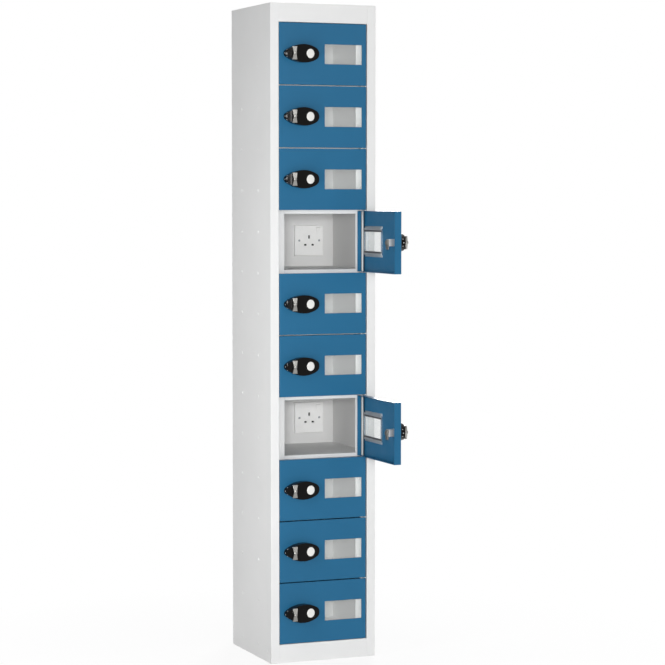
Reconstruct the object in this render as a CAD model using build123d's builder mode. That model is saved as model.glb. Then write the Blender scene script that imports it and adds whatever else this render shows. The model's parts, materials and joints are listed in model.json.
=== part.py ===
"""Tablet charging locker: a steel column with ten hinged doors and a switched socket in each compartment.

Millimetres, +X to the right as seen from the front, +Y to the back, +Z up.
The origin is the middle of the body's footprint, on the floor.
Doors, locks and sockets are drawn once, about their own compartment, and then copied down the column.
"""

import os

from build123d import *

# Body
body_width = 305.0
body_depth = 305.0
body_height = 1780.0
sheet = 1.0
stile_width = 24.0
rail_height = 50.0
compartments = 10
open_doors = (4, 7)
open_angle = 90.0

# Door stop: the lip that runs behind the door edges
stop_setback = 23.0
stop_reach = 24.5
stop_below = 9.0
shelf_above = 8.0
shelf_return = 14.0

# Doors
door_depth = 20.0
door_sheet = 1.0
door_fold = 1.2
door_gap = 3.0
free_gap = 1.5
hinge_gap = 3.0

# Hinge: one rod for the whole column, inside the doors' right-hand flanges
rod_diameter = 8.0
rod_overrun = 5.0
running_clearance = 0.1
hinge_inset = 7.0
hinge_depth = 7.5
tab_thickness = 2.0
tab_front = 2.0
tab_margin = 3.0

# Window
window_width = 108.0
window_height = 53.0
window_margin = 13.0
pane_thickness = 3.0
pane_overlap_side = 8.0
pane_overlap_hinge = 1.5
pane_overlap_edge = 9.0
channel_sheet = 1.0
channel_lip = 4.5
channel_foot = 6.0

# Lock case, the almond-shaped moulding on the door
case_nose = 12.0
case_reach = 58.0
case_height = 49.0
case_nose_radius = 10.0
case_tail_radius = 17.0
case_nose_rise = 17.5
case_crest = 27.0
case_crest_rise = 25.5
case_tail_rise = 8.5
case_crown_radius = 60.0

# Lock works
lock_inset = 34.0
spindle_side = 6.0
knob_rise = 24.5
knob_length = 35.0
knob_width = 14.0
knob_waist = 7.0
knob_thickness = 7.0
knob_tip = 4.0
knob_boss = 8.0
knob_boss_rise = 8.0
block_side = 19.0
block_gap = 0.4
block_clearance = 0.2
cam_reach = 18.0
cam_width = 16.0
cam_thickness = 2.5
cam_clearance = 1.0
cam_nut = 11.0
cam_nut_thickness = 3.5

# Socket outlet
plate_size = 86.0
plate_thickness = 9.0
plate_chamfer = 1.5
plate_margin = 34.0
plate_drop = 3.0
insert_width = 58.0
insert_height = 54.0
insert_depth = 22.0
insert_clearance = 3.0
pin_pitch = 22.2
earth_rise = 10.0
earth_slot = (4.8, 9.2)
line_slot = (7.4, 4.8)
pin_slot_depth = 27.0
rocker_x = 28.0
rocker_z = 27.5
rocker_width = 11.8
rocker_height = 18.4
rocker_gap = 0.3
rocker_tilt = 5.0
rocker_pivot_depth = 4.5
rocker_body_depth = 4.7
rocker_dish = 0.8
rocker_belly = 2.5
rocker_well_depth = 7.5
box_size = 72.0
box_depth = 35.0
box_wall = 1.0
box_lug = 10.0

# Rear service duct
duct_width = 240.0
duct_depth = 65.0
duct_bottom = 30.0
duct_top = 1750.0
duct_flange = 12.0
vent_rows = 8
vent_width = 90.0
vent_height = 5.0
vent_pitch = 14.0
vent_levels = (330.0, 1450.0)
trunk_width = 25.0
trunk_depth = 16.0
trunk_gap = 14.5
trunk_end_margin = 24.0
branch_height = 16.0
branch_depth = 12.0
terminal_box = (80.0, 40.0, 120.0)
terminal_box_z = 260.0
gland_z = 64.0
gland_thread = 20.0
gland_bore = 9.0
gland_hex = 26.0
gland_hex_thickness = 6.0
gland_cap = 22.0
gland_cap_length = 12.0
gland_clearance = 0.2

# Places that follow from the sizes
front = -body_depth / 2
back = body_depth / 2
half_width = body_width / 2
opening_half = half_width - stile_width
stop_half = opening_half - stop_reach
stop_back = stop_setback + sheet
pitch = (body_height - 2 * rail_height) / compartments
door_left = -opening_half + free_gap
door_right = opening_half - hinge_gap
door_width = door_right - door_left
door_height = pitch - door_gap
door_middle = (door_left + door_right) / 2
hinge_x = door_right - hinge_inset
hinge_hole = rod_diameter / 2 + running_clearance
window_middle = door_right - window_margin - window_width / 2
lock_x = door_left + lock_inset
plate_x = half_width - plate_margin - plate_size / 2
spindle_hole = spindle_side / 2**0.5 + running_clearance
cam_face = stop_back + cam_clearance
block_length = cam_face - block_gap

os.makedirs("parts", exist_ok=True)


def centre(number):
    """Height of the middle of a compartment's door, counted from the top."""
    return body_height - rail_height - pitch * (number - 0.5)


def door_place(number):
    """Where a door and all that it carries stand: closed, or swung open about the hinge rod."""
    closed = Location((0, front, centre(number)))
    if number not in open_doors:
        return closed
    swing = Location((hinge_x, hinge_depth, 0), (0, 0, open_angle)) * Location((-hinge_x, -hinge_depth, 0))
    return closed * swing


def socket_place(number):
    """Where a compartment's socket plate meets the inside of the back panel."""
    return Location((plate_x, back - sheet, centre(number) - plate_drop))


def write_copies(name, shape, place):
    """Write one STEP file per compartment, each a copy of the same shape."""
    for number in range(1, compartments + 1):
        copy = shape.moved(place(number))
        copy.label = f"{name}_{number:02d}"
        export_step(copy, f"parts/{copy.label}.step")


def write_group(name, shapes):
    """Write several like pieces as one node of separate solids."""
    group = Compound(label=name, children=shapes)
    export_step(group, f"parts/{name}.step")


# Sides: a flat wall, an angle stile at its front edge and the door stop that the lock cams hook behind
def on_side(side, low_x, high_x):
    """Left end and width of a span of the right-hand side, or of its mirror image when side is -1."""
    return (low_x if side > 0 else -high_x), high_x - low_x


side_height = body_height - 2 * sheet
side_solids = []

for side in (-1, 1):
    with BuildPart() as wall:
        with BuildSketch(Plane.XY.offset(sheet)):
            with Locations((on_side(side, half_width - sheet, half_width)[0], front + sheet)):
                Rectangle(sheet, body_depth - 2 * sheet, align=(Align.MIN, Align.MIN))
        extrude(amount=side_height)
    with BuildPart() as stile:
        with BuildSketch(Plane.XY.offset(sheet)):
            face_left, face_width = on_side(side, opening_half, half_width)
            with Locations((face_left, front)):
                Rectangle(face_width, sheet, align=(Align.MIN, Align.MIN))
            with Locations((on_side(side, opening_half, opening_half + sheet)[0], front)):
                Rectangle(sheet, stop_setback, align=(Align.MIN, Align.MIN))
        extrude(amount=side_height)
    with BuildPart() as stop:
        with BuildSketch(Plane.XY.offset(sheet)):
            stop_left, stop_width = on_side(side, stop_half, opening_half + sheet)
            with Locations((stop_left, front + stop_setback)):
                Rectangle(stop_width, sheet, align=(Align.MIN, Align.MIN))
        extrude(amount=side_height)
    side_solids += [wall.part, stile.part, stop.part]

# Forked hinge tabs that steady the rod and carry the doors, one between each pair of doors
with BuildPart() as tab:
    tab_left = hinge_x - rod_diameter / 2 - tab_margin
    with BuildSketch(Plane.XY.offset(-tab_thickness / 2)):
        with Locations((tab_left, front + tab_front)):
            Rectangle(opening_half - tab_left, stop_setback - tab_front, align=(Align.MIN, Align.MIN))
        with Locations((hinge_x, front + tab_front)):
            fork_depth = hinge_depth + hinge_hole - tab_front
            fork_align = (Align.CENTER, Align.MIN)
            Rectangle(2 * hinge_hole, fork_depth, align=fork_align, mode=Mode.SUBTRACT)
    extrude(amount=tab_thickness)
shelf_levels = [centre(number) - pitch / 2 for number in range(1, compartments)]
side_solids += [tab.part.moved(Location((0, 0, level))) for level in shelf_levels]

write_group("side_panels", side_solids)

# Top panel: flat cap, front rail, its return under the rail and the door stop
with BuildPart() as top_panel:
    with BuildSketch(Plane.XY.offset(body_height - sheet)):
        Rectangle(body_width, body_depth)
    extrude(amount=sheet)
    rail_bottom = body_height - rail_height
    with BuildSketch(Plane.XY.offset(rail_bottom)):
        with Locations((0, front)):
            Rectangle(2 * opening_half, stop_setback, align=(Align.CENTER, Align.MIN))
        with Locations((hinge_x, front + hinge_depth)):
            Circle(hinge_hole, mode=Mode.SUBTRACT)
    extrude(amount=sheet)
    with BuildSketch(Plane.XZ.offset(-front)):
        with Locations((0, rail_bottom)):
            Rectangle(2 * opening_half, rail_height - sheet, align=(Align.CENTER, Align.MIN))
    extrude(amount=-sheet)
    with BuildSketch(Plane.XZ.offset(-front - stop_setback)):
        with Locations((0, rail_bottom - stop_below)):
            Rectangle(2 * stop_half, stop_below + sheet, align=(Align.CENTER, Align.MIN))
    extrude(amount=-sheet)
top_panel.part.label = "top_panel"
export_step(top_panel.part, "parts/top_panel.step")

# Plinth: sole plate, front rail, its return, door stop and the lowest compartment's floor
with BuildPart() as plinth:
    with BuildSketch():
        Rectangle(body_width, body_depth)
    extrude(amount=sheet)
    with BuildSketch(Plane.XZ.offset(-front)):
        with Locations((0, sheet)):
            Rectangle(2 * opening_half, rail_height - sheet, align=(Align.CENTER, Align.MIN))
    extrude(amount=-sheet)
    with BuildSketch(Plane.XY.offset(rail_height - sheet)):
        with Locations((0, front)):
            Rectangle(2 * opening_half, stop_setback, align=(Align.CENTER, Align.MIN))
        with Locations((hinge_x, front + hinge_depth)):
            Circle(hinge_hole, mode=Mode.SUBTRACT)
    extrude(amount=sheet)
    with BuildSketch(Plane.XZ.offset(-front - stop_setback)):
        with Locations((0, rail_height - sheet)):
            Rectangle(2 * stop_half, shelf_above + sheet, align=(Align.CENTER, Align.MIN))
    extrude(amount=-sheet)
    with BuildSketch(Plane.XY.offset(rail_height + shelf_above - sheet)):
        with Locations((0, front + stop_back)):
            floor_depth = body_depth - stop_back - sheet
            Rectangle(body_width - 2 * sheet, floor_depth, align=(Align.CENTER, Align.MIN))
    extrude(amount=sheet)
plinth.part.label = "plinth"
export_step(plinth.part, "parts/plinth.step")

# Back panel, cut out behind every socket
with BuildPart() as back_panel:
    with BuildSketch(Plane.XZ.offset(-back + sheet)):
        with Locations((0, body_height / 2)):
            Rectangle(body_width, body_height - 2 * sheet)
        for number in range(1, compartments + 1):
            with Locations((plate_x, centre(number) - plate_drop)):
                cut_width = insert_width + 2 * insert_clearance
                cut_height = insert_height + 2 * insert_clearance
                Rectangle(cut_width, cut_height, mode=Mode.SUBTRACT)
    extrude(amount=-sheet)
back_panel.part.label = "back_panel"
export_step(back_panel.part, "parts/back_panel.step")

# Shelves: floor sheet with a front flange that is the door stop, turned back under itself
with BuildPart() as shelf:
    with BuildSketch(Plane.XY.offset(shelf_above - sheet)):
        with Locations((0, front + stop_back)):
            Rectangle(body_width - 2 * sheet, floor_depth, align=(Align.CENTER, Align.MIN))
    extrude(amount=sheet)
    with BuildSketch(Plane.YZ):
        with BuildLine():
            Polyline(
                (front + stop_setback, shelf_above),
                (front + stop_setback, -stop_below),
                (front + stop_back + shelf_return, -stop_below),
                (front + stop_back + shelf_return, sheet - stop_below),
                (front + stop_back, sheet - stop_below),
                (front + stop_back, shelf_above),
                close=True,
            )
        make_face()
    extrude(amount=stop_half, both=True)
write_group("shelves", [shelf.part.moved(Location((0, 0, level))) for level in shelf_levels])

# Hinge rod
with BuildPart() as hinge_rod:
    rod_bottom = rail_height - sheet - rod_overrun
    rod_top = body_height - rail_height + sheet + rod_overrun
    with BuildSketch(Plane.XY.offset(rod_bottom)):
        with Locations((hinge_x, front + hinge_depth)):
            Circle(rod_diameter / 2)
    extrude(amount=rod_top - rod_bottom)
hinge_rod.part.label = "hinge_rod"
export_step(hinge_rod.part, "parts/hinge_rod.step")

# Door leaf: a folded tray, open at the back, with the window and the lock's square hole
with BuildPart() as door:
    with BuildSketch(Plane.XZ):
        with Locations((door_middle, 0)):
            Rectangle(door_width, door_height)
    extrude(amount=-door_depth)
    chamfer(door.edges().filter_by(Axis.Z).group_by(Axis.Y)[0], door_fold)
    offset(amount=-door_sheet, openings=door.faces().sort_by(Axis.Y)[-1])
    with BuildSketch(Plane.XZ):
        with Locations((window_middle, 0)):
            Rectangle(window_width, window_height)
        with Locations((lock_x, 0)):
            Rectangle(block_side + 2 * block_clearance, block_side + 2 * block_clearance)
    extrude(amount=-door_sheet, mode=Mode.SUBTRACT)
    with BuildSketch():
        with Locations((hinge_x, hinge_depth)):
            Circle(hinge_hole)
    extrude(amount=door_height, both=True, mode=Mode.SUBTRACT)
write_copies("door", door.part, door_place)

# Window: clear pane held to the back of the door by a channel above and one below
pane_left = window_middle - window_width / 2 - pane_overlap_side
pane_right = window_middle + window_width / 2 + pane_overlap_hinge
pane_height = window_height + 2 * pane_overlap_edge
with BuildPart() as pane:
    with Locations((pane_left, door_sheet, 0)):
        Box(
            pane_right - pane_left,
            pane_thickness,
            pane_height,
            align=(Align.MIN, Align.MIN, Align.CENTER),
        )


def channel(side):
    """Folded strip that traps one long edge of the pane; side is 1 above and -1 below."""
    edge = pane_height / 2
    seat = door_sheet
    lip = door_sheet + pane_thickness
    points = [
        (seat, edge),
        (seat, edge + channel_foot),
        (seat + channel_sheet, edge + channel_foot),
        (seat + channel_sheet, edge + channel_sheet),
        (lip + channel_sheet, edge + channel_sheet),
        (lip + channel_sheet, edge - channel_lip),
        (lip, edge - channel_lip),
        (lip, edge),
    ]
    with BuildPart() as strip:
        with BuildSketch(Plane.YZ.offset(pane_left)):
            with BuildLine():
                Polyline(*[(y, side * z) for y, z in points], close=True)
            make_face()
        extrude(amount=pane_right - pane_left)
    return strip.part


window = Compound(children=[pane.part, channel(1), channel(-1)])
write_copies("window", window, door_place)

# Lock case: almond outline, its crown falling away from a crest near the nose, with a window for the spindle
flank_radius = (case_reach**2 + (case_height / 2) ** 2) / case_height
flank_centre = flank_radius - case_height / 2


def case_end(radius):
    """Distance from the middle of the lock case to an end rounded to this radius."""
    return ((flank_radius - radius) ** 2 - flank_centre**2) ** 0.5 + radius


nose = door_left + case_nose
case_middle = nose + case_end(case_nose_radius)
tail = case_middle + case_end(case_tail_radius)
crest = nose + case_crest

with BuildPart() as lock_case:
    with BuildSketch(Plane.XZ) as almond:
        with BuildLine():
            left_end = (case_middle - case_reach, 0)
            right_end = (case_middle + case_reach, 0)
            ThreePointArc(left_end, (case_middle, case_height / 2), right_end)
            ThreePointArc(left_end, (case_middle, -case_height / 2), right_end)
        make_face()
        fillet(almond.vertices().sort_by(Axis.X)[0], case_nose_radius)
        fillet(almond.vertices().sort_by(Axis.X)[-1], case_tail_radius)
    extrude(amount=case_crest_rise)
    with BuildSketch(Plane.XY) as crown:
        with BuildLine():
            Polyline(
                (nose, 0),
                (nose, -case_nose_rise),
                (crest, -case_crest_rise),
                (tail, -case_tail_rise),
                (tail, 0),
                close=True,
            )
        make_face()
        fillet(crown.vertices().sort_by(Axis.Y)[0], case_crown_radius)
    extrude(amount=case_height, both=True, mode=Mode.INTERSECT)
    with BuildSketch(Plane.XZ):
        with Locations((lock_x, 0)):
            Rectangle(2 * spindle_hole, 2 * spindle_hole)
    extrude(amount=case_crest_rise, mode=Mode.SUBTRACT)

# Square block behind the case: it fits the door's square hole and is the spindle's bearing
with BuildPart() as lock_block:
    with BuildSketch(Plane.XZ):
        with Locations((lock_x, 0)):
            Rectangle(block_side, block_side)
            Circle(spindle_hole, mode=Mode.SUBTRACT)
    extrude(amount=-block_length)

lock = Compound(children=[lock_case.part, lock_block.part])
write_copies("lock", lock, door_place)

# Turn: knob with two wings that slope away from its boss, square spindle, cam and nut, which turn together
with BuildPart() as turn:
    with BuildSketch(Plane.XZ.offset(knob_rise)):
        with BuildLine():
            end_left = lock_x - knob_width / 2
            end_right = lock_x + knob_width / 2
            end_z = knob_length / 2
            waist = knob_waist / 2
            Polyline(
                (end_left, end_z),
                (end_right, end_z),
                (lock_x + waist, 0),
                (end_right, -end_z),
                (end_left, -end_z),
                (lock_x - waist, 0),
                close=True,
            )
        make_face()
    extrude(amount=knob_thickness)
    with BuildSketch(Plane.YZ.offset(end_left)):
        with BuildLine():
            Polyline(
                (-knob_rise, end_z),
                (-knob_rise - knob_tip, end_z),
                (-knob_rise - knob_thickness, 0),
                (-knob_rise - knob_tip, -end_z),
                (-knob_rise, -end_z),
                close=True,
            )
        make_face()
    extrude(amount=knob_width, mode=Mode.INTERSECT)
    with BuildSketch(Plane.XZ.offset(knob_rise)):
        with Locations((lock_x, 0)):
            RegularPolygon(knob_boss / 2, 8, major_radius=False)
    extrude(amount=knob_boss_rise)
    with BuildSketch(Plane.XZ.offset(knob_rise)):
        with Locations((lock_x, 0)):
            Rectangle(spindle_side, spindle_side)
    extrude(amount=-knob_rise - cam_face - cam_thickness)
    with BuildSketch(Plane.XZ.offset(-cam_face)):
        with Locations((lock_x, cam_width / 2)):
            Rectangle(cam_width, cam_reach + cam_width / 2, align=(Align.CENTER, Align.MAX))
    extrude(amount=-cam_thickness)
    with BuildSketch(Plane.XZ.offset(-cam_face - cam_thickness)):
        with Locations((lock_x, 0)):
            RegularPolygon(cam_nut / 2, 6, major_radius=False)
    extrude(amount=-cam_nut_thickness)
write_copies("turn", turn.part, door_place)

# Socket outlet: face plate and its rear moulding, drawn about the plate's middle
with BuildPart() as socket:
    with BuildSketch(Plane.XZ):
        Rectangle(plate_size, plate_size)
    extrude(amount=plate_thickness)
    chamfer(socket.faces().sort_by(Axis.Y)[0].edges(), plate_chamfer)
    with BuildSketch(Plane.XZ):
        Rectangle(insert_width, insert_height)
    extrude(amount=-insert_depth)
    with BuildSketch(Plane.XZ.offset(plate_thickness)):
        with Locations((0, earth_rise)):
            Rectangle(*earth_slot)
        with Locations((-pin_pitch / 2, earth_rise - pin_pitch), (pin_pitch / 2, earth_rise - pin_pitch)):
            Rectangle(*line_slot)
    extrude(amount=-pin_slot_depth, mode=Mode.SUBTRACT)
    with BuildSketch(Plane.XZ.offset(plate_thickness)):
        with Locations((rocker_x, rocker_z)):
            well_width = rocker_width + 2 * rocker_gap
            well_height = rocker_height + 4 * rocker_gap
            Rectangle(well_width, well_height)
    extrude(amount=-rocker_well_depth, mode=Mode.SUBTRACT)
write_group("sockets", [socket.part.moved(socket_place(n)) for n in range(1, compartments + 1)])

# Rocker switch: two faces in a shallow V over a round belly, tipped to one side about its pivot
with BuildPart() as rocker:
    with BuildSketch(Plane.YZ.offset(rocker_x - rocker_width / 2)):
        with BuildLine():
            half_rocker = rocker_height / 2
            rocker_face = -rocker_pivot_depth - rocker_body_depth
            rocker_back = -rocker_pivot_depth - rocker_dish
            Polyline(
                (-rocker_pivot_depth, rocker_z - rocker_belly),
                (rocker_back, rocker_z - half_rocker),
                (rocker_face - rocker_dish, rocker_z - half_rocker),
                (rocker_face, rocker_z),
                (rocker_face - rocker_dish, rocker_z + half_rocker),
                (rocker_back, rocker_z + half_rocker),
                (-rocker_pivot_depth, rocker_z + rocker_belly),
            )
            ThreePointArc(
                (-rocker_pivot_depth, rocker_z + rocker_belly),
                (-rocker_pivot_depth + rocker_belly, rocker_z),
                (-rocker_pivot_depth, rocker_z - rocker_belly),
            )
        make_face()
    extrude(amount=rocker_width)
rocker_axis = Axis((rocker_x, -rocker_pivot_depth, rocker_z), (1, 0, 0))
tilted_rocker = rocker.part.rotate(rocker_axis, rocker_tilt)
write_copies("rocker", tilted_rocker, socket_place)

# Back boxes behind the sockets, open towards the compartment
with BuildPart() as back_box:
    with BuildSketch(Plane.XZ.offset(-sheet)):
        Rectangle(box_size, box_size)
    extrude(amount=-box_depth)
    offset(amount=-box_wall, openings=back_box.faces().sort_by(Axis.Y)[0])
    with BuildSketch(Plane.XZ.offset(-sheet)):
        with Locations((0, box_size / 2), (0, -box_size / 2)):
            Rectangle(box_lug, 2 * box_lug)
        Rectangle(box_size - box_wall, box_size - box_wall, mode=Mode.SUBTRACT)
    extrude(amount=-box_wall)
write_group("back_boxes", [back_box.part.moved(socket_place(n)) for n in range(1, compartments + 1)])

# Rear duct cover over the back boxes and wiring
with BuildPart() as duct_cover:
    duct_height = duct_top - duct_bottom
    with BuildSketch(Plane.XZ.offset(-back)):
        with Locations((0, duct_bottom)):
            Rectangle(duct_width, duct_height, align=(Align.CENTER, Align.MIN))
    extrude(amount=-duct_depth)
    offset(amount=-sheet, openings=duct_cover.faces().sort_by(Axis.Y)[0])
    with BuildSketch(Plane.XZ.offset(-back)):
        with Locations((0, duct_bottom)):
            Rectangle(duct_width + 2 * duct_flange, duct_height, align=(Align.CENTER, Align.MIN))
            Rectangle(duct_width, duct_height, align=(Align.CENTER, Align.MIN), mode=Mode.SUBTRACT)
    extrude(amount=-sheet)
    with BuildSketch(Plane.XZ.offset(-back - duct_depth)):
        for level in vent_levels:
            with Locations((0, level)):
                with GridLocations(0, vent_pitch, 1, vent_rows):
                    Rectangle(vent_width, vent_height)
    extrude(amount=sheet, mode=Mode.SUBTRACT)
    with BuildSketch(Plane.YZ.offset(duct_width / 2)):
        with Locations((back + duct_depth / 2, gland_z)):
            Circle(gland_thread / 2 + gland_clearance)
    extrude(amount=-sheet, mode=Mode.SUBTRACT)
duct_cover.part.label = "duct_cover"
export_step(duct_cover.part, "parts/duct_cover.step")

# Trunking with a branch to every back box, and a run to the cable gland
with BuildPart() as trunking:
    trunk_right = plate_x - box_size / 2 - trunk_gap
    trunk_left = trunk_right - trunk_width
    trunk_bottom = gland_z - branch_height / 2
    trunk_top = centre(1) - plate_drop + trunk_end_margin
    with BuildSketch(Plane.XZ.offset(-back)):
        with Locations((trunk_left, trunk_bottom)):
            Rectangle(trunk_width, trunk_top - trunk_bottom, align=(Align.MIN, Align.MIN))
    extrude(amount=-trunk_depth)
    with BuildSketch(Plane.XZ.offset(-back)):
        for number in range(1, compartments + 1):
            with Locations((trunk_right, centre(number) - plate_drop)):
                Rectangle(trunk_gap, branch_height, align=(Align.MIN, Align.CENTER))
        gland_run = duct_width / 2 - sheet - gland_hex_thickness - trunk_right - trunk_end_margin / 4
        with Locations((trunk_right, gland_z)):
            Rectangle(gland_run, branch_height, align=(Align.MIN, Align.CENTER))
    extrude(amount=-branch_depth)

with BuildPart() as terminal_case:
    with Locations((trunk_left, back, terminal_box_z)):
        Box(*terminal_box, align=(Align.MAX, Align.MIN, Align.CENTER))

with BuildPart() as gland:
    gland_middle = (back + duct_depth / 2, gland_z)
    inside = duct_width / 2 - sheet - gland_hex_thickness
    outside = duct_width / 2
    with BuildSketch(Plane.YZ.offset(inside)):
        with Locations(gland_middle):
            RegularPolygon(gland_hex / 2, 6, major_radius=False)
    extrude(amount=gland_hex_thickness)
    with BuildSketch(Plane.YZ.offset(inside)):
        with Locations(gland_middle):
            Circle(gland_thread / 2)
    extrude(amount=outside - inside)
    with BuildSketch(Plane.YZ.offset(outside)):
        with Locations(gland_middle):
            RegularPolygon(gland_hex / 2, 6, major_radius=False)
    extrude(amount=gland_hex_thickness)
    with BuildSketch(Plane.YZ.offset(outside + gland_hex_thickness)):
        with Locations(gland_middle):
            Circle(gland_cap / 2)
    extrude(amount=gland_cap_length)
    with BuildSketch(Plane.YZ.offset(inside)):
        with Locations(gland_middle):
            Circle(gland_bore / 2)
    extrude(amount=outside + gland_hex_thickness + gland_cap_length - inside, mode=Mode.SUBTRACT)

write_group("wiring", [trunking.part, terminal_case.part, gland.part])
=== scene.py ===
"""Looks of the tablet charging locker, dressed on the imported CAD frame.

+Y is the back and +Z is up. Shapes are in millimetres, and lamps, floor and camera in metres.
"""

import json
import math

import bmesh
import bpy
from mathutils import Matrix, Vector
from mathutils.bvhtree import BVHTree


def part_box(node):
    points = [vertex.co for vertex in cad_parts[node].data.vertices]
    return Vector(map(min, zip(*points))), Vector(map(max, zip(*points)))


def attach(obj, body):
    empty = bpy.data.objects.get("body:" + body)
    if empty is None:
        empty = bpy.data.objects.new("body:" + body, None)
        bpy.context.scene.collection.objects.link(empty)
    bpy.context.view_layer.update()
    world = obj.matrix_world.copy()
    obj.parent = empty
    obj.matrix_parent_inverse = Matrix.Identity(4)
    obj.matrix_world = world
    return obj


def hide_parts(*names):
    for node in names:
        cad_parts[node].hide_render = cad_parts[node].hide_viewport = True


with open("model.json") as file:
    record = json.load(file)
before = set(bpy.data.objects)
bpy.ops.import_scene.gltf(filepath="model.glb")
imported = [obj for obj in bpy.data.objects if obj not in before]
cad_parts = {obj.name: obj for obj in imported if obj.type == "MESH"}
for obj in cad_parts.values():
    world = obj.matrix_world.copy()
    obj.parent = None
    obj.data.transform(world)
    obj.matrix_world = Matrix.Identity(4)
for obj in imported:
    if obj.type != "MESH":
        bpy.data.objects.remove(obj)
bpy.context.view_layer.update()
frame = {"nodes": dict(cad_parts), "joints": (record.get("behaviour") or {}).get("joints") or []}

MM = 0.001

# ---- Measures of the CAD model

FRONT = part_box("plinth")[0].y / MM
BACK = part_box("plinth")[1].y / MM
HALF_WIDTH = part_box("plinth")[1].x / MM
DOOR_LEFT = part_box("door_01")[0].x / MM
DOOR_SHEET = 1.0
LOCK_X = DOOR_LEFT + 34.0
BOSS_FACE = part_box("turn_01")[0].y / MM - FRONT
PANE_THICKNESS = 3.0
CHANNEL_SHEET = 1.0
CHANNEL_LIP = 4.5
CHANNEL_FOOT = 6.0
SOCKET_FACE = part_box("sockets")[0].y / MM
SOCKET_X = 75.5
SOCKET_DROP = 3.0
DUCT_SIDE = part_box("duct_cover")[1].x / MM
DUCT_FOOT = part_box("duct_cover")[0].z / MM
DUCT_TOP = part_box("duct_cover")[1].z / MM
DUCT_FLANGE = 1.0

HINGES = {joint["name"]: joint for joint in frame["joints"] if joint["name"].endswith("_hinge")}
NUMBERS = range(1, len(HINGES) + 1)


def hinge(number):
    return HINGES[f"door_{number:02d}_hinge"]


def level(number):
    """Height of the middle of a door."""
    return hinge(number)["pos_m"][2] / MM


def door_matrix(number):
    """Takes a point on a closed door, counted from the door's middle, to its rest place."""
    closed = Matrix.Scale(MM, 4) @ Matrix.Translation((0, FRONT, level(number)))
    lowest = hinge(number)["range_deg"][0]
    if lowest == 0:
        return closed
    pivot = Vector(hinge(number)["pos_m"])
    swing = Matrix.Translation(pivot) @ Matrix.Rotation(math.radians(-lowest), 4, "Z")
    return swing @ Matrix.Translation(-pivot) @ closed


# ---- Materials

RAMP_ENDS = (0.3, 0.7)
LOWEST_ROUGHNESS = 0.02
PAINT_PEEL_DEPTH = 0.0002
GRAIN_DEPTH = 0.0001
COAT_ROUGHNESS = 0.06


def new_material(name, colour, roughness, metallic=0.0):
    """A Principled material; returns it with its node tree and shader for more detail."""
    material = bpy.data.materials.new(name)
    material.use_nodes = True
    tree = material.node_tree
    shader = tree.nodes["Principled BSDF"]
    shader.inputs["Base Color"].default_value = (*colour, 1)
    shader.inputs["Roughness"].default_value = roughness
    shader.inputs["Metallic"].default_value = metallic
    return material, tree, shader


def noise(tree, scale, detail=2.0, stretch=(1, 1, 1)):
    """Noise in the part's own frame, so that it keeps its scale on every piece."""
    place = tree.nodes.new("ShaderNodeTexCoord")
    mapping = tree.nodes.new("ShaderNodeMapping")
    mapping.inputs["Scale"].default_value = stretch
    texture = tree.nodes.new("ShaderNodeTexNoise")
    texture.inputs["Scale"].default_value = scale
    texture.inputs["Detail"].default_value = detail
    tree.links.new(place.outputs["Object"], mapping.inputs["Vector"])
    tree.links.new(mapping.outputs["Vector"], texture.inputs["Vector"])
    return texture.outputs["Fac"]


def ramp(tree, value, low, high):
    """Maps a noise value to a colour between two others."""
    node = tree.nodes.new("ShaderNodeValToRGB")
    for element, position, colour in zip(node.color_ramp.elements, RAMP_ENDS, (low, high)):
        element.position = position
        element.color = (*colour, 1)
    tree.links.new(value, node.inputs["Fac"])
    return node.outputs["Color"]


def shade(colour, factor):
    return tuple(min(1.0, part * factor) for part in colour)


def vary_colour(tree, shader, value, colour, darkest, lightest):
    """Drives the base colour between a darker and a lighter shade of one colour."""
    tint = ramp(tree, value, shade(colour, darkest), shade(colour, lightest))
    tree.links.new(tint, shader.inputs["Base Color"])


def vary_roughness(tree, shader, value, low, high):
    """Drives the roughness between two values."""
    grey = ramp(tree, value, (max(LOWEST_ROUGHNESS, low),) * 3, (high,) * 3)
    tree.links.new(grey, shader.inputs["Roughness"])


def add_bump(tree, shader, height, strength, distance):
    bump = tree.nodes.new("ShaderNodeBump")
    bump.inputs["Strength"].default_value = strength
    bump.inputs["Distance"].default_value = distance
    tree.links.new(height, bump.inputs["Height"])
    tree.links.new(bump.outputs["Normal"], shader.inputs["Normal"])


def larger(tree, first, second):
    """The larger of two values."""
    node = tree.nodes.new("ShaderNodeMath")
    node.operation = "MAXIMUM"
    tree.links.new(first, node.inputs[0])
    tree.links.new(second, node.inputs[1])
    return node.outputs["Value"]


def blend(tree, share, base, top):
    """Mixes two shaders; the share is the top one's."""
    mix = tree.nodes.new("ShaderNodeMixShader")
    tree.links.new(share, mix.inputs["Fac"])
    tree.links.new(base, mix.inputs[1])
    tree.links.new(top, mix.inputs[2])
    return mix.outputs["Shader"]


def powder_coat(name, colour, roughness, peel, cloud, shine):
    """Sprayed and baked paint: fine orange peel, faint clouding and handling marks."""
    material, tree, shader = new_material(name, colour, roughness)
    shader.inputs["Specular IOR Level"].default_value = shine
    clouds = noise(tree, scale=5.0, detail=3.0)
    vary_colour(tree, shader, clouds, colour, 1 - cloud, 1 + cloud)
    marks = noise(tree, scale=24.0, detail=4.0)
    vary_roughness(tree, shader, marks, roughness - 0.05, roughness + 0.07)
    add_bump(tree, shader, noise(tree, scale=850.0), peel, PAINT_PEEL_DEPTH)
    return material


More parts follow.
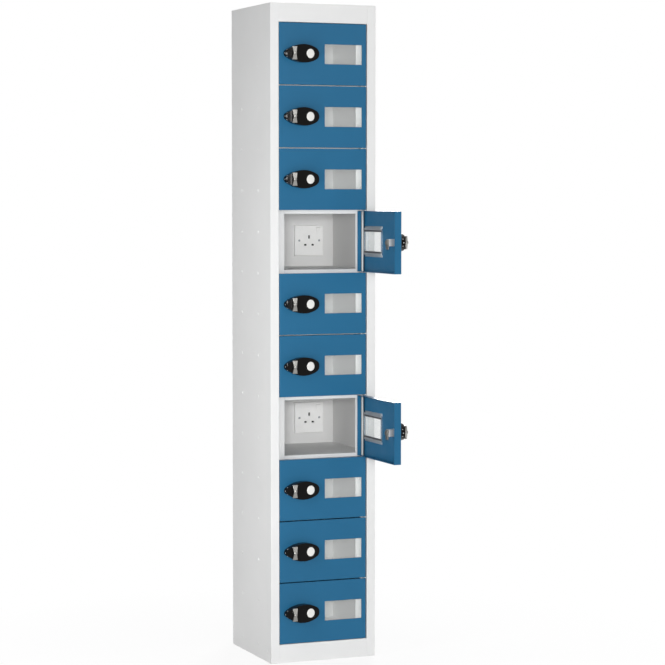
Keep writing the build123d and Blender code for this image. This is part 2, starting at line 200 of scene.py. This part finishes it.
def metal(name, colour, roughness, grain, strength=0.08, stretch=(1, 1, 1)):
    """Metal with a cast grain, or with a drawn one along the axis of the smallest stretch."""
    material, tree, shader = new_material(name, colour, roughness, metallic=1.0)
    grains = noise(tree, scale=grain, detail=3.0, stretch=stretch)
    vary_roughness(tree, shader, grains, roughness - 0.08, roughness + 0.12)
    vary_colour(tree, shader, noise(tree, scale=30.0, stretch=stretch), colour, 0.93, 1.05)
    add_bump(tree, shader, grains, strength, GRAIN_DEPTH)
    return material


def plastic(name, colour, roughness, fine=1800.0, strength=0.03, coat=0.0, shine=0.4):
    """Moulded plastic: even colour with a trace of flow and a fine tool finish."""
    material, tree, shader = new_material(name, colour, roughness)
    shader.inputs["Specular IOR Level"].default_value = shine
    vary_colour(tree, shader, noise(tree, scale=60.0), colour, 0.98, 1.015)
    wear = noise(tree, scale=90.0, detail=3.0)
    vary_roughness(tree, shader, wear, roughness - 0.03, roughness + 0.05)
    add_bump(tree, shader, noise(tree, scale=fine), strength, GRAIN_DEPTH)
    shader.inputs["Coat Weight"].default_value = coat
    shader.inputs["Coat Roughness"].default_value = COAT_ROUGHNESS
    return material


def clear_sheet(name):
    """Clear pane that lets shadow and diffuse rays straight through."""
    material, tree, shader = new_material(name, (0.97, 0.985, 0.98), roughness=0.03)
    shader.inputs["Transmission Weight"].default_value = 0.86
    shader.inputs["IOR"].default_value = 1.49
    vary_roughness(tree, shader, noise(tree, scale=18.0, detail=4.0), 0.02, 0.06)
    clear = tree.nodes.new("ShaderNodeBsdfTransparent")
    clear.inputs["Color"].default_value = (0.97, 0.98, 0.975, 1)
    path = tree.nodes.new("ShaderNodeLightPath")
    through = larger(tree, path.outputs["Is Shadow Ray"], path.outputs["Is Diffuse Ray"])
    sheet = blend(tree, through, shader.outputs["BSDF"], clear.outputs["BSDF"])
    tree.links.new(sheet, tree.nodes["Material Output"].inputs["Surface"])
    return material


CARCASS = powder_coat("carcass_paint", (0.735, 0.735, 0.73), 0.45, peel=0.22, cloud=0.015, shine=0.18)
DOOR = powder_coat("door_paint", (0.015, 0.118, 0.236), 0.36, peel=0.2, cloud=0.04, shine=0.2)
PANE = clear_sheet("clear_pane")
ALUMINIUM = metal("channel_aluminium", (0.62, 0.65, 0.68), 0.42, grain=900.0, stretch=(0.05, 1, 1))
KNOB = metal("knob_metal", (0.29, 0.285, 0.27), 0.34, grain=420.0, strength=0.05)
BLOCK = metal("block_metal", (0.6, 0.61, 0.62), 0.5, grain=260.0, strength=0.06)
ZINC = metal("zinc_steel", (0.55, 0.57, 0.59), 0.42, grain=120.0, strength=0.1)
ROD = metal("rod_steel", (0.36, 0.37, 0.37), 0.6, grain=1500.0, stretch=(1, 1, 0.02))
BLACK = plastic("black_plastic", (0.0055, 0.005, 0.0048), 0.12, fine=2200.0, strength=0.02, shine=0.07)
WHITE = plastic("white_plastic", (0.93, 0.93, 0.92), 0.34, shine=0.3)
DISC = plastic("disc_white", (0.82, 0.81, 0.78), 0.4, shine=0.3)
# Near black painted as the shade beside each pane channel's lip
LIP_SHADE = plastic("lip_shade_paint", (0.06, 0.062, 0.068), 0.6)
# Near black painted as the shade in the screw slots and behind the pin slots
SLOT_SHADE = plastic("slot_shade_black", (0.012, 0.012, 0.013), 0.5, shine=0.2)
# Light grey painted on the lock's nose as its highlights
NOSE_HIGHLIGHT = plastic("nose_highlight_paint", (0.34, 0.35, 0.35), 0.25, coat=0.3)

# Material of each family of CAD nodes, and the rounding of its edges
NODE_LOOKS = {
    "side_panels": (CARCASS, 0.6),
    "top_panel": (CARCASS, 0.6),
    "plinth": (CARCASS, 0.6),
    "back_panel": (CARCASS, 0.3),
    "shelves": (CARCASS, 0.4),
    "duct_cover": (CARCASS, 0.8),
    "hinge_rod": (ROD, None),
    "sockets": (WHITE, 0.45),
    "back_boxes": (ZINC, 0.4),
    "wiring": (WHITE, 0.8),
    "door": (DOOR, 0.5),
    "turn": (KNOB, 0.7),
    "rocker": (WHITE, 0.5),
}
WELD_DISTANCE = 1e-5
BEVEL_FROM = math.radians(35)


def soften(obj, width, segments=2):
    """Rounds the sharp edges of an object a little, as folded or moulded edges are."""
    weld = obj.modifiers.new("weld", "WELD")
    weld.merge_threshold = WELD_DISTANCE
    bevel = obj.modifiers.new("edges", "BEVEL")
    bevel.width = width * MM
    bevel.segments = segments
    bevel.limit_method = "ANGLE"
    bevel.angle_limit = BEVEL_FROM
    bevel.use_clamp_overlap = True
    bevel.harden_normals = True


for node_name, node in frame["nodes"].items():
    family = node_name.rsplit("_", 1)[0] if node_name[-2:].isdigit() else node_name
    if family not in NODE_LOOKS:
        continue
    material, edge = NODE_LOOKS[family]
    node.data.materials.clear()
    node.data.materials.append(material)
    if edge:
        soften(node, edge)


# ---- Making and placing pieces

SMOOTH_BELOW = math.radians(40)
SAME_POINT = 1e-6
LATHE_STEPS = 24


def finish_mesh(name, mesh_data, material, body, matrix=None, smooth=True):
    """Turns bmesh data into a piece that rides on a body; the matrix takes it to its place in metres."""
    bmesh.ops.recalc_face_normals(mesh_data, faces=mesh_data.faces)
    mesh_data.transform(matrix if matrix is not None else Matrix.Scale(MM, 4))
    mesh = bpy.data.meshes.new(name)
    mesh_data.to_mesh(mesh)
    mesh_data.free()
    mesh.materials.append(material)
    for polygon in mesh.polygons:
        polygon.use_smooth = smooth
    mesh.set_sharp_from_angle(angle=SMOOTH_BELOW)
    obj = bpy.data.objects.new(name, mesh)
    bpy.context.scene.collection.objects.link(obj)
    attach(obj, body)
    return obj


def round_edges(data, radius, segments):
    edges = data.edges[:]
    bmesh.ops.bevel(data, geom=edges, offset=radius, segments=segments, affect="EDGES", profile=0.5)


def rounded_box(low, high, radius, segments=2):
    """A box from corner to corner with rounded edges."""
    data = bmesh.new()
    size = [b - a for a, b in zip(low, high)]
    middle = [(a + b) / 2 for a, b in zip(low, high)]
    scale = Matrix.Diagonal((*size, 1))
    bmesh.ops.create_cube(data, size=1, matrix=Matrix.Translation(middle) @ scale)
    round_edges(data, radius, segments)
    return data


def lathe(profile, place=Matrix.Identity(4), steps=LATHE_STEPS):
    """Turns a profile of (radius, height) points about the local Z axis."""
    data = bmesh.new()
    rings = []
    for radius, height in profile:
        ring = []
        for step in range(steps):
            angle = 2 * math.pi * step / steps
            ring.append(data.verts.new((radius * math.cos(angle), radius * math.sin(angle), height)))
        rings.append(ring)
    for lower, upper in zip(rings, rings[1:]):
        for step in range(steps):
            after = (step + 1) % steps
            data.faces.new((lower[step], lower[after], upper[after], upper[step]))
    data.faces.new(rings[0][::-1])
    data.faces.new(rings[-1])
    data.transform(place)
    return data


def facing(point, normal):
    """Places local Z along a normal at a point."""
    turn = Vector(normal).to_track_quat("Z", "Y").to_matrix().to_4x4()
    return Matrix.Translation(point) @ turn


def join(parts):
    """Puts several pieces of bmesh data into one."""
    whole = bmesh.new()
    for part in parts:
        scratch = bpy.data.meshes.new("scratch")
        part.to_mesh(scratch)
        part.free()
        whole.from_mesh(scratch)
        bpy.data.meshes.remove(scratch)
    return whole


def split_solids(node):
    """The separate solids of a CAD node as welded bmesh data, most points first."""
    whole = bmesh.new()
    whole.from_mesh(node.data)
    bmesh.ops.remove_doubles(whole, verts=whole.verts, dist=SAME_POINT)
    seen = set()
    groups = []
    for start in whole.verts:
        if start in seen:
            continue
        group = []
        stack = [start]
        seen.add(start)
        while stack:
            vert = stack.pop()
            group.append(vert)
            for edge in vert.link_edges:
                other = edge.other_vert(vert)
                if other not in seen:
                    seen.add(other)
                    stack.append(other)
        groups.append({vert.index for vert in group})
    groups.sort(key=len, reverse=True)
    parts = []
    for keep in groups:
        part = whole.copy()
        part.verts.ensure_lookup_table()
        drop = [vert for vert in part.verts if vert.index not in keep]
        bmesh.ops.delete(part, geom=drop, context="VERTS")
        parts.append(part)
    whole.free()
    return parts


# ---- Locks: case and block from the CAD node, disc and three light grey spots painted on the nose as its highlights

# Label, material, slot, rounding of the edges and its segments, for the two solids of a lock
LOCK_SOLIDS = (
    ("case", BLACK, "black_plastic", 2.6, 4),
    ("block", BLOCK, "lock_metal", 0.5, 2),
)
DISC_X = DOOR_LEFT + 84.0
DISC_RADIUS = 12.25
# Radius and height of each point of a turned profile, here and in what follows
DISC_RIM = (
    (0.1, -0.2),
    (DISC_RADIUS, -0.2),
    (DISC_RADIUS, 0.55),
    (DISC_RADIUS - 0.15, 0.85),
    (DISC_RADIUS - 0.5, 1.0),
    (DISC_RADIUS * 0.6, 1.1),
    (0.1, 1.15),
)
DISC_STEPS = 48
NOSE_RISE = 11.5
NOSE_PITCH = 9.3
# Three small light grey blocks on the nose, painted as its highlights
HIGHLIGHT_LOW = (-1.5, -1.7, -0.5)
HIGHLIGHT_HIGH = (1.5, 1.7, 0.45)
HIGHLIGHT_EDGE = 0.4
RAY_START = 100.0


def case_place(start, direction):
    """Where a ray meets the case of lock_01, with Z outwards; places count from the door's middle."""
    middle = Vector((0, FRONT, level(1)))
    tree = BVHTree.FromObject(frame["nodes"]["lock_01"], bpy.context.evaluated_depsgraph_get())
    point, normal, _, _ = tree.ray_cast((Vector(start) + middle) * MM, direction)
    if normal.dot(direction) > 0:
        normal = -normal
    return facing(point / MM - middle, normal)


disc_place = case_place((DISC_X, -RAY_START, 0), Vector((0, 1, 0)))
highlight_places = []
for step in (-1, 0, 1):
    start = (DOOR_LEFT - RAY_START, -NOSE_RISE, NOSE_PITCH * step)
    highlight_places.append(case_place(start, Vector((1, 0, 0))))

for number in NUMBERS:
    tag = f"{number:02d}"
    node_name = f"lock_{tag}"
    body = f"door_{tag}"
    place = door_matrix(number)
    for part, look in zip(split_solids(frame["nodes"][node_name]), LOCK_SOLIDS):
        label, material, slot, edge, segments = look
        piece = finish_mesh(f"lock_{label}_{tag}", part, material, body, Matrix.Identity(4))
        soften(piece, edge, segments)
        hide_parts(node_name)
    disc = finish_mesh(f"lock_disc_{tag}", lathe(DISC_RIM, disc_place, DISC_STEPS), DISC, body, place)
    for index, highlight_place in enumerate(highlight_places):
        data = rounded_box(HIGHLIGHT_LOW, HIGHLIGHT_HIGH, HIGHLIGHT_EDGE)
        data.transform(highlight_place)
        lens = finish_mesh(f"lock_nose_highlight_{tag}_{index + 1}", data, NOSE_HIGHLIGHT, body, place)

# ---- Knobs: a round cap over each boss

KNOB_CAP = ((4.5, -1.4), (4.5, -0.3), (4.2, 0.2), (3.6, 0.6), (2.5, 0.95), (1.2, 1.15), (0.1, 1.2))
KNOB_CAP_STEPS = 32

for number in NUMBERS:
    tag = f"{number:02d}"
    data = lathe(KNOB_CAP, facing((LOCK_X, BOSS_FACE, 0), (0, -1, 0)), KNOB_CAP_STEPS)
    piece = finish_mesh(f"knob_cap_{tag}", data, KNOB, f"turn_{tag}", door_matrix(number))

# ---- Windows: pane and the two folded channels, each with a dark strip painted as the shade beside its lip

PANE_EDGE = 0.2
FOLD_EDGE = 0.3
# The dark strip behind the pane at each channel's lip is painted shade
LIP_SHADE_INNER = 9.0
LIP_SHADE_THICKNESS = 0.9
LIP_SHADE_EDGE = 0.3


def window_size():
    """Half height, left and right of the pane on a closed door, from the CAD node."""
    low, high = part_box("window_01")
    half = (high.z - low.z) / MM / 2 - CHANNEL_FOOT
    return half, low.x / MM, high.x / MM


PANE_HALF, PANE_LEFT, PANE_RIGHT = window_size()
PANE_INSIDE = DOOR_SHEET + PANE_THICKNESS


def channel(side):
    """Folded strip over one long edge of the pane, with rounded folds."""
    outline = [
        (DOOR_SHEET, PANE_HALF),
        (DOOR_SHEET, PANE_HALF + CHANNEL_FOOT),
        (DOOR_SHEET + CHANNEL_SHEET, PANE_HALF + CHANNEL_FOOT),
        (DOOR_SHEET + CHANNEL_SHEET, PANE_HALF + CHANNEL_SHEET),
        (PANE_INSIDE + CHANNEL_SHEET, PANE_HALF + CHANNEL_SHEET),
        (PANE_INSIDE + CHANNEL_SHEET, PANE_HALF - CHANNEL_LIP),
        (PANE_INSIDE, PANE_HALF - CHANNEL_LIP),
        (PANE_INSIDE, PANE_HALF),
    ]
    data = bmesh.new()
    ends = []
    for x in (PANE_LEFT, PANE_RIGHT):
        ends.append([data.verts.new((x, y, side * z)) for y, z in outline])
    for index in range(len(outline)):
        after = (index + 1) % len(outline)
        data.faces.new((ends[0][index], ends[0][after], ends[1][after], ends[1][index]))
    data.faces.new(ends[0])
    data.faces.new(ends[1][::-1])
    bmesh.ops.recalc_face_normals(data, faces=data.faces)
    round_edges(data, FOLD_EDGE, segments=2)
    return data


def lip_shade_strip(side):
    """Dark strip on the inside of the pane, from the channel's lip inwards, painted as the shade there.
    """
    bottom, top = sorted((side * (PANE_HALF - CHANNEL_LIP), side * (PANE_HALF - LIP_SHADE_INNER)))
    low = (PANE_LEFT, PANE_INSIDE, bottom)
    high = (PANE_RIGHT, PANE_INSIDE + LIP_SHADE_THICKNESS, top)
    return rounded_box(low, high, LIP_SHADE_EDGE, segments=1)


for number in NUMBERS:
    tag = f"{number:02d}"
    body = f"door_{tag}"
    place = door_matrix(number)
    low = (PANE_LEFT, DOOR_SHEET, -PANE_HALF)
    high = (PANE_RIGHT, PANE_INSIDE, PANE_HALF)
    data = rounded_box(low, high, PANE_EDGE, segments=1)
    pane = finish_mesh(f"pane_{tag}", data, PANE, body, place, smooth=False)
    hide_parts(f"window_{tag}")
    for label, side in (("upper", 1), ("lower", -1)):
        strip = finish_mesh(f"pane_channel_{label}_{tag}", channel(side), ALUMINIUM, body, place)
        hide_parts(f"window_{tag}")
        name = f"pane_lip_shade_{label}_{tag}"
        strip = finish_mesh(name, lip_shade_strip(side), LIP_SHADE, body, place, smooth=False)

# ---- Sockets: plate screws with their slots as painted shade, and shutters inside the pin slots painted near black as the shade there

SCREW_SPREAD = 60.3
PLATE_SCREW_RADIUS = 3.4
PLATE_SCREW_RISE = 0.9
# The notch is a dark bar, painted shade for the screw's slot, sunk in the head but for its front
NOTCH_HALF_LENGTH = 2.6
NOTCH_HALF_WIDTH = 0.45
NOTCH_FRONT = 0.95
NOTCH_BACK = 0.7
NOTCH_EDGE = 0.05
PIN_PITCH = 22.2
EARTH_RISE = 10.0
EARTH_SLOT = (4.8, 9.2)
LINE_SLOT = (7.4, 4.8)
SHUTTER_DEPTH = 2.5
SHUTTER_THICKNESS = 1.5
SHUTTER_PLAY = 0.05
SHUTTER_EDGE = 0.1
# Across and up from the middle of the plate, then the slot's width and height
PIN_SLOTS = (
    (0, EARTH_RISE, EARTH_SLOT),
    (-PIN_PITCH / 2, EARTH_RISE - PIN_PITCH, LINE_SLOT),
    (PIN_PITCH / 2, EARTH_RISE - PIN_PITCH, LINE_SLOT),
)


def screw_head(radius, rise, place):
    """A shallow domed screw head."""
    rim = ((radius, 0), (radius, rise * 0.4), (radius * 0.8, rise * 0.85))
    profile = ((0.05, 0), *rim, (0.05, rise))
    return lathe(profile, place)


for number in NUMBERS:
    middle = level(number) - SOCKET_DROP
    for side, label in ((-1, "left"), (1, "right")):
        x = SOCKET_X + side * SCREW_SPREAD / 2
        place = facing((x, SOCKET_FACE, middle), (0, -1, 0))
        head = screw_head(PLATE_SCREW_RADIUS, PLATE_SCREW_RISE, place)
        screw = finish_mesh(f"socket_screw_{label}_{number:02d}", head, ZINC, "root")
        low = (x - NOTCH_HALF_LENGTH, SOCKET_FACE - NOTCH_FRONT, middle - NOTCH_HALF_WIDTH)
        high = (x + NOTCH_HALF_LENGTH, SOCKET_FACE - NOTCH_BACK, middle + NOTCH_HALF_WIDTH)
        data = rounded_box(low, high, NOTCH_EDGE, segments=1)
        notch = finish_mesh(f"screw_slot_shade_{label}_{number:02d}", data, SLOT_SHADE, "root")
    for index, (across, rise, (width, height)) in enumerate(PIN_SLOTS):
        x = SOCKET_X + across
        z = middle + rise
        half_width = width / 2 - SHUTTER_PLAY
        half_height = height / 2 - SHUTTER_PLAY
        front = SOCKET_FACE + SHUTTER_DEPTH
        low = (x - half_width, front, z - half_height)
        high = (x + half_width, front + SHUTTER_THICKNESS, z + half_height)
        data = rounded_box(low, high, SHUTTER_EDGE, segments=1)
        shutter = finish_mesh(f"pin_shutter_shade_{number:02d}_{index + 1}", data, SLOT_SHADE, "root")

# ---- Rivet heads on the side panels: two columns, spaced two thirds as far apart as the doors

RIVET_COLUMNS = (97.5, 225.0)
RIVET_ROWS = 14
RIVET_LOWEST = 159.5
RIVET_PITCH = (level(1) - level(2)) * 2 / 3
SOLE_ROW = 38.0
CORNER_RIVET = (28.5, 27.5)
RIVET_DOME = ((4.4, -0.1), (4.4, 0.2), (3.9, 0.62), (2.9, 0.97), (1.5, 1.16), (0.05, 1.2))


def rivet_places():
    """Distance from the front and height of every rivet on one side panel."""
    rows = [SOLE_ROW] + [RIVET_LOWEST + RIVET_PITCH * step for step in range(RIVET_ROWS)]
    return [(column, row) for row in rows for column in RIVET_COLUMNS] + [CORNER_RIVET]


for side, label in ((-1, "left"), (1, "right")):
    domes = []
    for across, z in rivet_places():
        point = (side * HALF_WIDTH, FRONT + across, z)
        domes.append(lathe(RIVET_DOME, facing(point, (side, 0, 0))))
    heads = finish_mesh(f"side_rivets_{label}", join(domes), CARCASS, "root")

# ---- Screws down both flanges of the rear duct

DUCT_SCREW_RADIUS = 3.8
DUCT_SCREW_RISE = 2.2
DUCT_SCREWS_A_SIDE = 8
DUCT_SCREW_INSET = 6.0
DUCT_SCREW_END = 30.0


def duct_screw_places():
    """Across and up of every screw in the duct's flanges."""
    lowest = DUCT_FOOT + DUCT_SCREW_END
    pitch = (DUCT_TOP - DUCT_SCREW_END - lowest) / (DUCT_SCREWS_A_SIDE - 1)
    rows = [lowest + pitch * step for step in range(DUCT_SCREWS_A_SIDE)]
    return [(side * (DUCT_SIDE - DUCT_SCREW_INSET), row) for side in (-1, 1) for row in rows]


heads = []
for x, z in duct_screw_places():
    place = facing((x, BACK + DUCT_FLANGE, z), (0, 1, 0))
    heads.append(screw_head(DUCT_SCREW_RADIUS, DUCT_SCREW_RISE, place))
screws = finish_mesh("duct_screws", join(heads), ZINC, "root")

# ---- Floor, world, lamps and camera

FLOOR_HALF = 9.0
FLOOR_DROP = 0.0002
# The glow's share grows from the first value to the second between these distances from the middle
FLOOR_GLOW = (0.88, 1.0)
FLOOR_GLOW_AT = (0.3, 1.1)
WORLD_COLOUR = (0.93, 0.96, 1.0, 1)
WORLD_STRENGTH = 0.13


def background_rays(tree):
    """One for the rays that show the white background: camera, glossy and transmission rays."""
    rays = tree.nodes.new("ShaderNodeLightPath").outputs
    pair = larger(tree, rays["Is Camera Ray"], rays["Is Transmission Ray"])
    return larger(tree, pair, rays["Is Glossy Ray"])


def floor_glow(tree):
    """Share of the floor's white glow: less near the object, where its shadow shows."""
    place = tree.nodes.new("ShaderNodeTexCoord")
    reach = tree.nodes.new("ShaderNodeVectorMath")
    reach.operation = "LENGTH"
    tree.links.new(place.outputs["Object"], reach.inputs[0])
    grow = tree.nodes.new("ShaderNodeMapRange")
    grow.inputs["From Min"].default_value, grow.inputs["From Max"].default_value = FLOOR_GLOW_AT
    grow.inputs["To Min"].default_value, grow.inputs["To Max"].default_value = FLOOR_GLOW
    tree.links.new(reach.outputs["Value"], grow.inputs["Value"])
    share = tree.nodes.new("ShaderNodeMath")
    share.operation = "MULTIPLY"
    tree.links.new(background_rays(tree), share.inputs[0])
    tree.links.new(grow.outputs["Result"], share.inputs[1])
    return share.outputs["Value"]


def build_floor():
    data = bmesh.new()
    bmesh.ops.create_grid(data, x_segments=8, y_segments=8, size=FLOOR_HALF)
    mesh = bpy.data.meshes.new("floor")
    data.to_mesh(mesh)
    data.free()
    floor = bpy.data.objects.new("floor", mesh)
    floor.location.z = -FLOOR_DROP
    bpy.context.scene.collection.objects.link(floor)
    material, tree, shader = new_material("floor_pale", (0.86, 0.86, 0.86), roughness=0.7)
    glow = tree.nodes.new("ShaderNodeEmission")
    glow.inputs["Strength"].default_value = 1.0
    surface = blend(tree, floor_glow(tree), shader.outputs["BSDF"], glow.outputs["Emission"])
    tree.links.new(surface, tree.nodes["Material Output"].inputs["Surface"])
    mesh.materials.append(material)


def build_world():
    """Dim pale light on the object, and plain white where the background is seen."""
    world = bpy.data.worlds.new("studio")
    bpy.context.scene.world = world
    world.use_nodes = True
    tree = world.node_tree
    tree.nodes.clear()
    lit = tree.nodes.new("ShaderNodeBackground")
    lit.inputs["Color"].default_value = WORLD_COLOUR
    lit.inputs["Strength"].default_value = WORLD_STRENGTH
    white = tree.nodes.new("ShaderNodeBackground")
    white.inputs["Color"].default_value = (1, 1, 1, 1)
    out = tree.nodes.new("ShaderNodeOutputWorld")
    surface = blend(tree, background_rays(tree), lit.outputs["Background"], white.outputs["Background"])
    tree.links.new(surface, out.inputs["Surface"])


def lamp(name, place, aim, size, power):
    """A rectangular lamp, with its power in watts."""
    data = bpy.data.lights.new(name, "AREA")
    data.shape = "RECTANGLE"
    data.size, data.size_y = size
    data.energy = power
    obj = bpy.data.objects.new(name, data)
    obj.location = place
    obj.rotation_euler = (Vector(aim) - Vector(place)).to_track_quat("-Z", "Y").to_euler()
    bpy.context.scene.collection.objects.link(obj)


build_floor()
build_world()
AIM = (0, 0, 0.9)
FRONT_M = FRONT * MM
lamp("front", (-2.45, FRONT_M - 6.0, 1.42), AIM, (0.9, 0.9), 173)
lamp("middle", (-0.75, FRONT_M - 6.1, 1.35), AIM, (0.9, 0.9), 69)
lamp("upper", (2.15, FRONT_M - 5.8, 3.35), AIM, (1.0, 1.6), 25)
lamp("left", (-1.35, -0.75, 0.95), (0, FRONT_M, 0.95), (0.4, 1.3), 10.5)
lamp("back", (2.6, 4.2, 2.4), AIM, (1.6, 1.6), 130)
lamp("top", (0, 0.1, 5.2), (0, 0, 1.8), (1.4, 1.4), 60)

# The camera stands where the photo's perspective puts it; lens in millimetres, angles in degrees
CAMERA_SENSOR = 36
CAMERA_LENS = 124.95
CAMERA_PLACE = (-2.333, FRONT_M - 5.791, 1.270)
CAMERA_DOWN = 3.43
CAMERA_TURN = -22.17
camera_data = bpy.data.cameras.new("camera")
camera_data.sensor_width = CAMERA_SENSOR
camera_data.lens = CAMERA_LENS
camera = bpy.data.objects.new("camera", camera_data)
camera.location = CAMERA_PLACE
camera.rotation_euler = (math.radians(90 - CAMERA_DOWN), 0, math.radians(CAMERA_TURN))
bpy.context.scene.collection.objects.link(camera)
bpy.context.scene.camera = camera
bpy.context.scene.view_settings.view_transform = "Standard"
